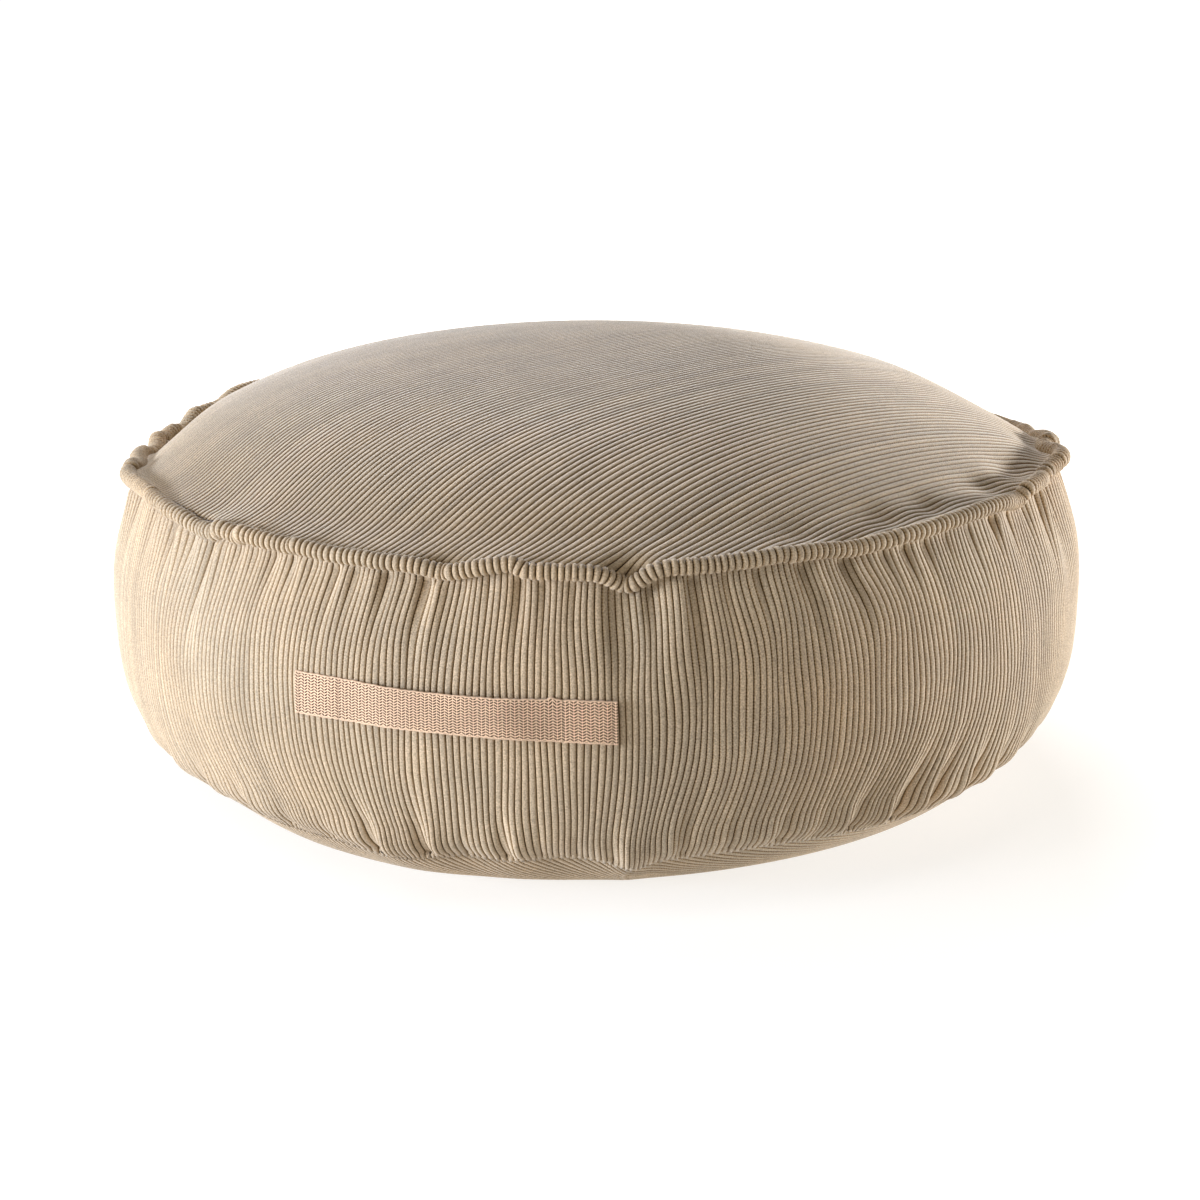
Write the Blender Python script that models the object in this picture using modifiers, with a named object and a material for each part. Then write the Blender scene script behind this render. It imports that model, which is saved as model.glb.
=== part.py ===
"""Round corduroy pouf: crowned top panel, gathered side band, flat base, piped top seam and webbing handle.

Sizes are in metres unless a name ends in _MM. +Z is up, and the pouf stands on Z = 0 round the Z axis.
A turn is an angle in degrees round that axis, counted from the front (-Y) towards +X.
Each stuffed panel is a filled solid that ends at its seams, and neighbours keep SEAM_GAP between them.
"""

import math

import bmesh
import bpy
from mathutils import Vector

MM = 0.001
TURN_STEPS = 180
SEAM_GAP = 0.0003
AXIS_FADE = 0.05

# Top seam and its piping
TOP_SEAM_HEIGHT = 0.2138
PIPING_RING_RADIUS = 0.3024
PIPING_RADIUS = 0.0045
PIPING_SIDES = 8
PIPING_CLEARANCE = 0.0005

# Crown of the top panel
CROWN_HEIGHT = 0.2675
CROWN_FULLNESS = 3.4
CROWN_SOFTNESS = 1.25
CROWN_LEAN = Vector((-0.015, 0.010, 0.0))
CROWN_RINGS = (0.97, 0.92, 0.85, 0.74, 0.58, 0.38, 0.18)
CROWN_FOLLOW_POWER = 8  # how closely the crown's movement with the seam keeps to its edge
CROWN_TUCK_DISTANCE = 0.014
CROWN_TUCK_REACH = 0.013
SEAM_CONE_DEPTH = 0.060

# Base
BOTTOM_SEAM_HEIGHT = 0.0370
BOTTOM_SEAM_RADIUS = 0.2950
BASE_PROFILE_MM = (  # height, radius: from the flat that rests on the floor to the bottom seam
    (0.0, 229.0),
    (6.5, 252.0),
    (16.0, 270.0),
    (27.0, 285.0),
)

# Side band
BAND_PROFILE_MM = (  # height, radius: from the bottom seam to below the piping
    (37.0, 295.0),
    (44.0, 305.5),
    (64.0, 315.5),
    (86.0, 319.0),
    (111.0, 320.3),
    (138.0, 319.7),
    (163.0, 316.2),
    (186.0, 309.5),
    (207.0, 302.4),
)
BAND_ROWS_MM = (40.0, 46.0, 54.0, 65.0, 80.0, 100.0, 122.0, 145.0, 160.0, 173.0, 184.0, 194.0, 202.0)
GROOVE_ANGLES = (-150.0, -120.0, -90.0)
TOP_SEAM_SHARE = 0.625  # how much of the band's height, from the top, moves with the top seam
BOTTOM_SEAM_SHARE = 0.5  # and how much, from below, moves with the bottom seam
GATHER_START = 0.008
GATHER_FALL = 0.6  # spread of a gather's depth along its length, as a share of that length

# Handle
HANDLE_TURNS = (-32.5, 1.9)
HANDLE_HEIGHTS = (0.1346, 0.1339, 0.1308)
HANDLE_WIDTH = 0.025
HANDLE_THICKNESS = 0.0016
HANDLE_STAND_OFF = 0.0030
HANDLE_SEWN_SHARE = 0.16  # of its length, at each end
HANDLE_RISE_SHARE = 0.2  # of its length, over which it leaves the band
HANDLE_STEPS = 36

TOP_SEAM_WAVES = (  # turn, spread, rise_mm, inset_mm: where the gathered seam lifts, or is pulled down and in
    (-176.0, 3.4, -3.0, 3.0),
    (-161.0, 3.6, -4.0, 4.0),
    (-147.0, 3.2, -2.5, 3.0),
    (-131.0, 3.6, -4.0, 4.0),
    (-116.0, 3.2, -2.5, 4.0),
    (-107.0, 3.2, -3.0, 3.0),
    (-98.0, 15.0, -5.5, 0.0),
    (-95.0, 3.4, -2.0, 5.0),
    (-84.0, 3.2, -2.0, 5.0),
    (-76.0, 4.2, 0.0, -6.0),
    (-65.0, 5.0, 1.4, 0.0),
    (-51.0, 3.0, -3.2, 1.5),
    (-36.0, 4.0, 1.4, 0.0),
    (-16.0, 2.6, -3.6, 1.5),
    (-9.5, 2.6, 2.0, 0.0),
    (-1.0, 3.5, -1.4, 0.5),
    (3.3, 2.4, -7.5, 3.0),
    (21.0, 5.0, 1.4, 0.0),
    (28.5, 2.2, -1.6, 1.0),
    (47.0, 7.0, 2.0, 0.0),
    (57.5, 2.6, -3.2, 2.0),
    (70.0, 3.0, -3.0, 3.0),
    (76.5, 4.2, 0.0, -6.5),
    (84.0, 3.2, -2.0, 6.0),
    (97.0, 3.2, -2.5, 3.0),
    (110.0, 22.0, -11.0, 0.0),
    (122.0, 3.2, -3.0, 3.0),
    (137.0, 3.5, -3.0, 4.0),
    (152.0, 3.2, -2.5, 3.0),
    (168.0, 3.5, -4.0, 4.0),
)

CROWN_TUCKS = (  # turn, spread, depth_mm: small dents where the stuffed crown meets the piping
    (-51.0, 4.0, 1.5),
    (3.3, 3.5, 2.0),
    (24.0, 3.0, 1.5),
    (36.0, 2.6, 2.0),
    (43.5, 2.4, 2.5),
    (56.0, 3.0, 3.0),
    (66.0, 4.0, 4.0),
    (84.0, 4.0, 3.0),
)

TOP_GATHERS = (  # turn, spread, depth_mm, length_mm: valleys that hang from the top seam
    (-76.0, 2.2, 2.8, 40.0),
    (-70.5, 2.0, 2.5, 40.0),
    (-63.0, 2.0, 1.7, 30.0),
    (-55.0, 2.0, 1.4, 30.0),
    (-48.5, 1.9, 3.6, 60.0),
    (-38.0, 1.6, 2.0, 24.0),
    (-33.0, 1.6, 1.7, 26.0),
    (-24.5, 1.6, 2.5, 38.0),
    (-18.8, 1.8, 3.4, 55.0),
    (-8.0, 1.6, 2.1, 50.0),
    (-2.0, 2.0, 1.4, 40.0),
    (5.5, 1.7, 3.1, 45.0),
    (9.6, 1.8, 2.2, 60.0),
    (15.0, 2.0, 1.4, 40.0),
    (21.2, 1.8, 2.5, 55.0),
    (27.5, 1.6, 2.2, 32.0),
    (34.0, 1.6, 1.7, 26.0),
    (38.5, 1.6, 1.7, 26.0),
    (46.0, 1.8, 3.9, 45.0),
    (50.8, 1.6, 2.2, 22.0),
    (55.5, 1.6, 2.5, 30.0),
    (64.5, 2.0, 4.2, 55.0),
    (69.5, 1.8, 2.5, 36.0),
    (76.0, 2.2, 2.8, 40.0),
)

BOTTOM_GATHERS = (  # turn, spread, depth_mm, length_mm, lean_deg: valleys that rise from the bottom seam
    (-70.0, 3.0, 2.8, 35.0, -2.0),
    (-60.0, 3.0, 3.5, 35.0, -3.0),
    (-50.0, 2.4, 3.5, 28.0, -2.0),
    (-40.0, 2.2, 3.4, 30.0, -2.0),
    (-33.0, 2.0, 1.4, 26.0, -1.0),
    (-25.5, 1.8, 3.9, 46.0, 2.0),
    (-20.0, 1.8, 3.9, 46.0, -1.0),
    (-9.3, 1.6, 2.5, 36.0, 0.0),
    (1.3, 1.6, 3.1, 24.0, 0.0),
    (6.0, 1.6, 2.0, 40.0, 1.0),
    (14.0, 2.0, 1.4, 40.0, 1.0),
    (19.5, 1.8, 2.0, 36.0, 1.0),
    (26.0, 1.8, 2.8, 42.0, 3.0),
    (31.0, 1.8, 3.1, 50.0, 3.0),
    (36.5, 2.0, 4.9, 60.0, 4.0),
    (42.5, 2.2, 4.9, 60.0, 4.0),
    (49.0, 2.2, 4.2, 52.0, 4.0),
    (56.0, 2.4, 4.2, 42.0, 4.0),
    (64.0, 3.0, 3.5, 36.0, 4.0),
    (74.0, 3.0, 2.8, 36.0, 3.0),
)

BOTTOM_SEAM_WAVES = (  # turn, spread, rise_mm
    (-50.0, 6.0, 1.5),
    (-24.0, 5.0, -4.0),
    (-15.0, 3.5, 3.0),
    (-4.0, 5.0, 4.6),
    (3.3, 2.2, -5.0),
    (18.0, 13.0, 3.4),
)

BASE_SPREAD = (  # turn, spread, out_mm: where the rolled edge of the base sits wider or narrower
    (-34.0, 24.0, 5.0),
    (58.0, 24.0, 2.5),
)

BACK_STRETCH = 1.15
BACK_STRENGTH = 0.9

MATERIALS = {  # base colour, roughness
    "corduroy": ((0.48, 0.39, 0.29, 1.0), 0.95),
    "webbing": ((0.66, 0.45, 0.31, 1.0), 0.9),
}


def bump(distance, spread):
    return math.exp(-((distance / spread) ** 2))


def turn_between(first, second):
    """Signed smallest angle from second to first, in degrees."""
    return (first - second + 180.0) % 360.0 - 180.0


def both_sides(rows):
    """The rows as they stand at the front, and again, stretched and weaker, round the back."""
    for turn, spread, depth, *rest in rows:
        yield (turn, spread, depth, *rest)
        yield (180.0 + turn * BACK_STRETCH, spread * BACK_STRETCH, depth * BACK_STRENGTH, *rest)


def smooth_lookup(rows, value):
    """Cubic interpolation through rows of (value, result)."""
    last = len(rows) - 1
    index = max(0, min(last - 1, sum(row[0] <= value for row in rows) - 1))
    slopes = []
    for row in (index, index + 1):
        low, high = max(row - 1, 0), min(row + 1, last)
        slopes.append((rows[high][1] - rows[low][1]) / (rows[high][0] - rows[low][0]))
    span = rows[index + 1][0] - rows[index][0]
    share = (value - rows[index][0]) / span
    start, end = rows[index][1], rows[index + 1][1]
    rise = end - start
    bend = share * (share - 1.0)
    return start + rise * share + bend * (
        (share - 1.0) * (slopes[0] * span - rise) + share * (slopes[1] * span - rise)
    )


def smooth_step(share):
    share = max(0.0, min(1.0, share))
    return share * share * (3.0 - 2.0 * share)


def top_seam_shift(turn):
    """Rise and inward pull of the top seam, the piping and the panels' edges there."""
    rise = inset = 0.0
    for wave_turn, spread, rise_mm, inset_mm in TOP_SEAM_WAVES:
        strength = bump(turn_between(turn, wave_turn), spread)
        rise += rise_mm * MM * strength
        inset += inset_mm * MM * strength
    return rise, inset


def bottom_seam_rise(turn):
    return sum(
        rise_mm * MM * bump(turn_between(turn, wave_turn), spread)
        for wave_turn, spread, rise_mm in both_sides(BOTTOM_SEAM_WAVES)
    )


def band_radius(height):
    return smooth_lookup(BAND_PROFILE_MM, height / MM) * MM


def gather_depth(turn, height):
    """How far the band's gathers draw its face in at one place."""
    depth = 0.0
    below_top = TOP_SEAM_HEIGHT - PIPING_RADIUS - height
    for gather_turn, spread, depth_mm, length_mm in both_sides(TOP_GATHERS):
        reach = smooth_step(below_top / GATHER_START) * bump(below_top, length_mm * MM * GATHER_FALL)
        depth += depth_mm * MM * reach * bump(turn_between(turn, gather_turn), spread)
    above_bottom = height - BOTTOM_SEAM_HEIGHT
    for gather_turn, spread, depth_mm, length_mm, lean in both_sides(BOTTOM_GATHERS):
        reach = smooth_step(above_bottom / GATHER_START) * bump(above_bottom, length_mm * MM * GATHER_FALL)
        leaning_turn = gather_turn + lean * above_bottom / (length_mm * MM)
        depth += depth_mm * MM * reach * bump(turn_between(turn, leaning_turn), spread)
    return depth


def at(turn, radius, height):
    angle = math.radians(turn)
    return Vector((radius * math.sin(angle), -radius * math.cos(angle), height))


def top_seam_rim():
    """Radius at which the top panel and the band meet, just inside the piping."""
    return PIPING_RING_RADIUS - PIPING_RADIUS - PIPING_CLEARANCE


def gather_band(turn, radius, height):
    """Move one point of the plain turned band to its place on the gathered one."""
    share = (height - BOTTOM_SEAM_HEIGHT) / (TOP_SEAM_HEIGHT - PIPING_RADIUS - BOTTOM_SEAM_HEIGHT)
    off_axis = smooth_step(radius / AXIS_FADE)
    top_share = smooth_step(1.0 - (1.0 - share) / TOP_SEAM_SHARE) * off_axis
    bottom_share = smooth_step(1.0 - share / BOTTOM_SEAM_SHARE) * off_axis
    rise, inset = top_seam_shift(turn)
    lift = rise * top_share + bottom_seam_rise(turn) * bottom_share
    drawn_in = inset * top_share + gather_depth(turn, height) * off_axis
    return at(turn, radius - drawn_in, height + lift)


def gather_crown(turn, radius, height):
    """Move one point of the turned crown: its edge follows the seam, and tucks dent it beside the piping."""
    rim = top_seam_rim()
    rise, inset = top_seam_shift(turn)
    follow = (radius / rim) ** CROWN_FOLLOW_POWER
    from_rim = rim - radius
    tuck = smooth_step(from_rim / CROWN_TUCK_REACH) * bump(from_rim - CROWN_TUCK_DISTANCE, CROWN_TUCK_REACH)
    tuck *= sum(
        depth_mm * MM * bump(turn_between(turn, tuck_turn), spread)
        for tuck_turn, spread, depth_mm in CROWN_TUCKS
    )
    lean = CROWN_LEAN * smooth_step((height - TOP_SEAM_HEIGHT) / (CROWN_HEIGHT - TOP_SEAM_HEIGHT))
    return at(turn, radius - inset * follow, height + rise * follow - tuck) + lean


def gather_base(turn, radius, height):
    """Move one point of the turned base: its seam waves, its rolled edge spreads and its flat stays flat."""
    share = smooth_step(height / BOTTOM_SEAM_HEIGHT)
    off_axis = smooth_step(radius / AXIS_FADE)
    spread_out = sum(
        out_mm * MM * bump(turn_between(turn, spread_turn), spread)
        for spread_turn, spread, out_mm in BASE_SPREAD
    )
    spread_out *= (1.0 - share) * off_axis
    return at(turn, radius + spread_out, height + bottom_seam_rise(turn) * share * off_axis)


def gather_piping(turn, radius, height):
    rise, inset = top_seam_shift(turn)
    return at(turn, radius - inset, height + rise)


def make_material(name):
    colour, roughness = MATERIALS[name]
    material = bpy.data.materials.new(name)
    material.use_nodes = True
    shader = material.node_tree.nodes["Principled BSDF"]
    shader.inputs["Base Color"].default_value = colour
    shader.inputs["Roughness"].default_value = roughness
    shader.inputs["Metallic"].default_value = 0.0
    return material


def add_object(name, mesh, material, collection):
    piece = bpy.data.objects.new(name, mesh)
    mesh.materials.append(material)
    mesh.shade_smooth()
    mesh.set_sharp_from_angle(angle=math.radians(40.0))
    collection.objects.link(piece)
    return piece


def turned_mesh(name, outline, gather, closed=False):
    """Spin an outline of (radius, height) once round Z, then gather each point of the plain form."""
    form = bmesh.new()
    points = [form.verts.new((0.0, -radius, height)) for radius, height in outline]
    pairs = list(zip(points, points[1:]))
    if closed:
        pairs.append((points[-1], points[0]))
    edges = [form.edges.new(pair) for pair in pairs]
    bmesh.ops.spin(
        form,
        geom=points + edges,
        cent=(0.0, 0.0, 0.0),
        axis=(0.0, 0.0, 1.0),
        angle=math.tau,
        steps=TURN_STEPS,
        use_merge=True,
    )
    bmesh.ops.remove_doubles(form, verts=form.verts, dist=0.00001)
    for point in form.verts:
        turn = math.degrees(math.atan2(point.co.x, -point.co.y))
        point.co = gather(turn, point.co.xy.length, point.co.z)
    bmesh.ops.recalc_face_normals(form, faces=form.faces)
    mesh = bpy.data.meshes.new(name)
    form.to_mesh(mesh)
    form.free()
    return mesh


def add_top_panel(material, collection):
    rim = top_seam_rim()
    edge_height = TOP_SEAM_HEIGHT + SEAM_GAP / 2.0
    outline = [(0.0, edge_height - SEAM_CONE_DEPTH), (rim, edge_height)]
    for share in CROWN_RINGS:
        swell = (1.0 - share**CROWN_FULLNESS) ** CROWN_SOFTNESS
        outline.append((rim * share, edge_height + (CROWN_HEIGHT - edge_height) * swell))
    outline.append((0.0, CROWN_HEIGHT))
    mesh = turned_mesh("top_panel", outline, gather_crown)
    return add_object("top_panel", mesh, material, collection)


def add_side_band(material, collection):
    rim = top_seam_rim()
    edge_height = TOP_SEAM_HEIGHT - SEAM_GAP / 2.0
    foot_height = BOTTOM_SEAM_HEIGHT + SEAM_GAP / 2.0
    outline = [(0.0, foot_height), (BOTTOM_SEAM_RADIUS, foot_height)]
    outline += [(band_radius(height_mm * MM), height_mm * MM) for height_mm in BAND_ROWS_MM]
    groove = PIPING_RADIUS + PIPING_CLEARANCE
    for angle in sorted(GROOVE_ANGLES, reverse=True):
        across = groove * math.cos(math.radians(angle))
        down = groove * math.sin(math.radians(angle))
        outline.append((PIPING_RING_RADIUS + across, TOP_SEAM_HEIGHT + down))
    outline += [(rim, edge_height), (0.0, edge_height - SEAM_CONE_DEPTH)]
    mesh = turned_mesh("side_band", outline, gather_band)
    return add_object("side_band", mesh, material, collection)


def add_bottom_panel(material, collection):
    edge_height = BOTTOM_SEAM_HEIGHT - SEAM_GAP / 2.0
    outline = [(0.0, 0.0)]
    outline += [(radius_mm * MM, height_mm * MM) for height_mm, radius_mm in BASE_PROFILE_MM]
    outline += [(BOTTOM_SEAM_RADIUS, edge_height), (0.0, edge_height)]
    mesh = turned_mesh("bottom_panel", outline, gather_base)
    return add_object("bottom_panel", mesh, material, collection)


def add_piping(material, collection):
    outline = []
    for side in range(PIPING_SIDES):
        angle = math.tau * (side + 0.5) / PIPING_SIDES
        outline.append((
            PIPING_RING_RADIUS + PIPING_RADIUS * math.cos(angle),
            TOP_SEAM_HEIGHT + PIPING_RADIUS * math.sin(angle),
        ))
    mesh = turned_mesh("piping", outline, gather_piping, closed=True)
    return add_object("piping", mesh, material, collection)


def handle_point(along, across):
    """A point of the strap's inner face: along and across run from 0 to 1."""
    turn = HANDLE_TURNS[0] + (HANDLE_TURNS[1] - HANDLE_TURNS[0]) * along
    left, middle, right = HANDLE_HEIGHTS
    centre_height = left * (1.0 - along) ** 2 + (4.0 * middle - left - right) * along * (1.0 - along)
    centre_height += right * along**2
    height = centre_height + (across - 0.5) * HANDLE_WIDTH
    from_end = min(along, 1.0 - along)
    stand_off = HANDLE_STAND_OFF * smooth_step((from_end - HANDLE_SEWN_SHARE) / HANDLE_RISE_SHARE)
    radius = band_radius(height) + SEAM_GAP + stand_off
    return at(turn, radius, height)


def add_handle(material, collection):
    """A flat ribbon laid on the band's belly and given its thickness outwards."""
    form = bmesh.new()
    bmesh.ops.create_grid(form, x_segments=HANDLE_STEPS, y_segments=2, size=0.5)
    for point in form.verts:
        point.co = handle_point(point.co.x + 0.5, point.co.y + 0.5)
    mesh = bpy.data.meshes.new("handle")
    form.to_mesh(mesh)
    form.free()
    piece = add_object("handle", mesh, material, collection)
    thickness = piece.modifiers.new("webbing thickness", "SOLIDIFY")
    thickness.thickness = HANDLE_THICKNESS
    thickness.offset = 1.0
    thickness.use_even_offset = True
    return piece


def clear_scene():
    for piece in list(bpy.data.objects):
        bpy.data.objects.remove(piece)


def main():
    clear_scene()
    collection = bpy.data.collections.new("round pouf")
    bpy.context.scene.collection.children.link(collection)
    corduroy = make_material("corduroy")
    webbing = make_material("webbing")
    add_top_panel(corduroy, collection)
    add_side_band(corduroy, collection)
    add_bottom_panel(corduroy, collection)
    add_piping(corduroy, collection)
    add_handle(webbing, collection)


main()
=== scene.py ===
"""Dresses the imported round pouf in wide-wale corduroy, with ribbed piping and a webbing handle.

Sizes are in metres unless a name ends in _MM or a table's column in _mm. A turn is an angle in degrees
round +Z, counted from the front (-Y) towards +X, and a table's spread is the width of a bell curve in
degrees. The wales' crests follow the form of the CAD solids, and their valleys are cut into it. The form
differs from the solids by some millimetres where the top seam is pulled down, near the crown's edge, in the
pleats, at the band's foot and in the piping's ribs and twists.
"""

import math

import bpy
import numpy as np
from mathutils import Matrix, Vector


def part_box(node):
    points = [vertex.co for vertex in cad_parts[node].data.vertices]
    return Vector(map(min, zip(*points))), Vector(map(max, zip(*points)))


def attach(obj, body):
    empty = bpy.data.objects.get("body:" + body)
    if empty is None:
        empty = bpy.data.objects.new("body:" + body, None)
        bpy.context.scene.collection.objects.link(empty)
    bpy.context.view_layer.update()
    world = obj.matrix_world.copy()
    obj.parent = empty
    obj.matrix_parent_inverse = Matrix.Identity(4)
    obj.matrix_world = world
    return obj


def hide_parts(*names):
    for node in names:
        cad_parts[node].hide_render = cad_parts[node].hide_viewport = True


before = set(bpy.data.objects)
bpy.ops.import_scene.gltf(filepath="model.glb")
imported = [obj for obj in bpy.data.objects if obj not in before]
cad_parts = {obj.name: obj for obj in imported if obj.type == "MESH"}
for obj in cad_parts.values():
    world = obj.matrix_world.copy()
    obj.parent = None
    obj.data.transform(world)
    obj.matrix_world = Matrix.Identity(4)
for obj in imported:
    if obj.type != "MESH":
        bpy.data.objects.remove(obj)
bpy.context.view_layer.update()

MM = 0.001
SEED = 11
FINE_STEPS = 7200  # points round the pouf where lengths along it are added up
TINY = 1e-12

# Seams and profiles, close to those of the CAD solids
TOP_SEAM_HEIGHT = 0.2138
PIPING_RING_RADIUS = 0.3024
PIPING_RADIUS = 0.0045
CROWN_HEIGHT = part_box("top_panel")[1].z
CROWN_RIM_RADIUS = PIPING_RING_RADIUS - PIPING_RADIUS / 2.0  # its edge lies inside the piping
CROWN_FULLNESS = 3.4
CROWN_SOFTNESS = 1.25
CROWN_LEAN = (-0.015, 0.010)
CROWN_FOLLOW_POWER = 50  # how closely the crown's movement with the seam keeps to its edge
CROWN_EDGE_RETURN = 0.007  # how far in from its edge a sunken crown starts to come back up to the seam
CROWN_TUCK_DISTANCE = 0.014
CROWN_TUCK_REACH = 0.013
BOTTOM_SEAM_HEIGHT = 0.0370
BOTTOM_SEAM_RADIUS = 0.2950
TOP_SEAM_SHARE = 0.625  # how much of the band's height, from the top, moves with the top seam
BOTTOM_SEAM_SHARE = 0.5  # and how much, from below, moves with the bottom seam
GATHER_FALL = 0.6  # spread of a pleat's depth along its length, as a share of that length
BAND_PROFILE_MM = (  # height, radius: from the bottom seam to below the piping
    (37.0, 299.0),
    (44.0, 307.0),
    (64.0, 315.8),
    (86.0, 319.0),
    (111.0, 320.3),
    (138.0, 319.7),
    (163.0, 316.2),
    (186.0, 309.5),
    (207.0, 302.4),
    (212.0, 300.6),
)
BASE_PROFILE_MM = (  # radius, height: from the flat that rests on the floor to the bottom seam
    (229.0, 0.0),
    (252.0, 6.5),
    (270.0, 16.0),
    (285.0, 27.0),
    (295.0, 37.0),
)

# Corduroy
WALES_ROUND = 515
WALE_PITCH = 0.0039
WALE_DEPTH = 0.0016
TOP_WALE_DEPTH = 0.0013
WALE_PHASES = (0.0, 0.10, 0.28, 0.50, 0.72, 0.90)  # where the points lie across a wale
WALE_POWERS = (5.2, 0.6)  # how flat its crest is, and how steeply it falls to its valleys
WALE_WIDTH_JITTER = 0.09
WALE_DEPTH_JITTER = 0.14
TOP_WALE_DIRECTION = 43.5  # degrees from +X towards +Y
BAND_ROWS = 28
BAND_TOP = 0.2105
BAND_HEAD_TUCK_MM = (212.5, 4.0)  # height, inward: the cloth turned in behind the piping
BAND_FOOT_TUCKS_MM = ((38.4, 3.5), (41.0, 8.0))  # height, inward: the cloth turned into the bottom seam
ROW_CROWDING = 0.12  # how much closer the rows lie at the seams
CROWN_ROWS = 96
BASE_ROWS = 52
DISC_ROW_EVENNESS = 0.55  # 1 where a disc's rows are evenly spaced, less where they crowd towards its rim
DISC_STEPS = 600  # points from a disc's middle to its rim where its cloth's length is added up
FOLD_START = 0.004  # how far from its seam a pleat has its full depth
FOLD_STRENGTH = 1.25
FOLD_RIDGE_SHARE = 0.55  # height of the ridge beside a pleat, as a share of the pleat's depth
FOLD_RIDGE_DISTANCE = 1.7  # in spreads
FOLD_BUNCHING = 0.85  # how evenly the wales share the cloth's length where it is folded
FOLD_BUNCHING_REACH = 8.0  # widest folds, in degrees, that the wales bunch up in
WANDER_WAVES = 14
WANDER_DEGREES = 0.035
WANDER_TURNS = (8.0, 60.0)  # waves in one turn round the pouf
WANDER_LENGTHS = (0.045, 0.140)  # of a wave, up the band
BAND_PILE_CHANGES = ((-58.0, 22.0, -0.42), (72.0, 20.0, -0.30))  # turn, spread, change of the wales' depth
TOP_PILE_CHANGES = ((-85.0, 50.0, 0.38),)  # the same on the top panel: it grows from the middle to the rim
TIP_SCALLOP = 0.0020  # how far a wale's lower tip reaches below its valleys
TIP_PARTING = (0.7, 0.005)  # how much deeper the valleys are at the wales' lower tips, and how far up
TIP_UNEVENNESS = 0.0007

# Piping
PIPING_RIB_PITCH = 0.0040
PIPING_RIB_STEPS = 8  # rings of points in each rib
PIPING_RIB_POWERS = (2.1, 0.5)  # how flat a rib's top is, and how steeply it falls to its grooves
PIPING_RIB_DEPTH = 0.0015
PIPING_RIB_JITTER = 0.10
PIPING_PLUMPNESS = 1.12  # radius on a rib, in solid cord radii
PIPING_RADIUS_JITTER = 0.035
PIPING_GROOVE_WIDTH = 0.65  # a power: the smaller it is, the narrower the painted shade of the grooves
PIPING_STEP_TURN = 0.45  # degrees over which the cord steps across itself
PIPING_FRAME_REACH = 4  # rings ahead and behind that give the cord's direction
PIPING_SIDES = 14

# Handle
HANDLE_TURNS = (-32.5, 1.9)
HANDLE_HEIGHTS = (0.1350, 0.1350, 0.1310)  # of its left end, middle and right end
HANDLE_WIDTH = 0.025
HANDLE_NARROWING = 0.08  # share of its width lost in the middle, where it is pulled
HANDLE_LENGTH = 0.192
HANDLE_COLUMNS = 400
HANDLE_ROWS = 72
HANDLE_THICKNESS = 0.0016
HANDLE_STAND_OFF = 0.0030
HANDLE_SEWN_SHARE = 0.16  # of its length, at each end
HANDLE_RISE_SHARE = 0.2  # of its length, over which it leaves the band
HANDLE_EDGE_WAVE = 0.00025
HANDLE_EDGE_WAVE_RATES = (900.0, 410.0)  # in radians a metre
HANDLE_EDGE_REACH = 0.002  # how far in from the edge the wave is felt
HANDLE_PUCKER = 0.0010
HANDLE_PUCKER_PLACE = 0.156  # along the handle, where its upper edge is puckered
HANDLE_PUCKER_SPREAD = 0.0025
HANDLE_PUCKER_SHARE = 0.25  # of its width, from the upper edge
HANDLE_STITCHES = (0.0028, 0.0300)  # how far the sewn lines lie from each end
STITCH_DEPTH = 0.0002
STITCH_SPREAD = 0.0007
WEAVE_PERIOD = 0.0046  # of the herringbone's zigzag, along the handle
WEAVE_ROW = 0.0017  # from one row of yarns to the next
WEAVE_SLANT = 0.85  # rows that a yarn climbs in one arm of the zigzag
WEAVE_RELIEF = 0.00016
SELVEDGE = 0.0016

TOP_SEAM_WAVES = (  # turn, spread, rise_mm, inset_mm: where the seam lifts, or is pulled down and in
    (-176.0, 3.4, -3.0, 3.0),
    (-161.0, 3.6, -4.0, 4.0),
    (-147.0, 3.2, -2.5, 3.0),
    (-131.0, 3.6, -4.0, 4.0),
    (-116.0, 3.2, -2.5, 4.0),
    (-107.0, 3.2, -3.0, 3.0),
    (-98.0, 15.0, -9.5, 0.0),
    (-95.0, 3.4, -2.0, 4.5),
    (-84.0, 3.2, -2.0, 3.0),
    (-76.0, 4.2, 0.0, -2.5),
    (-65.0, 5.0, 1.4, 0.0),
    (-51.0, 3.0, -3.2, 1.5),
    (-36.0, 4.0, 1.4, 0.0),
    (-16.0, 2.6, -3.6, 1.5),
    (-9.5, 2.6, 2.0, 0.0),
    (-1.0, 3.5, -1.4, 0.5),
    (3.3, 2.2, -9.5, 3.0),
    (21.0, 5.0, 1.4, 0.0),
    (28.5, 2.2, -1.6, 1.0),
    (47.0, 7.0, 2.0, 0.0),
    (57.5, 2.6, -3.2, 2.0),
    (70.0, 3.0, -3.0, 3.0),
    (77.5, 4.2, 0.0, -3.5),
    (84.0, 3.2, -2.0, 6.0),
    (97.0, 3.2, -2.5, 3.0),
    (112.0, 22.0, -20.0, 0.0),
    (122.0, 3.2, -3.0, 3.0),
    (137.0, 3.5, -3.0, 4.0),
    (152.0, 3.2, -2.5, 3.0),
    (168.0, 3.5, -4.0, 4.0),
)

CROWN_RIM_LIFTS = (  # turn, spread, rise_mm, reach_mm: how high the crown is stuffed near its edge
    (-48.0, 26.0, 3.2, 32.0),
    (-4.0, 26.0, 2.6, 32.0),
    (38.0, 22.0, 1.8, 32.0),
    (-104.0, 24.0, -10.0, 44.0),
    (76.0, 9.0, -2.5, 26.0),
    (120.0, 28.0, -18.0, 72.0),
)

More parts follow.
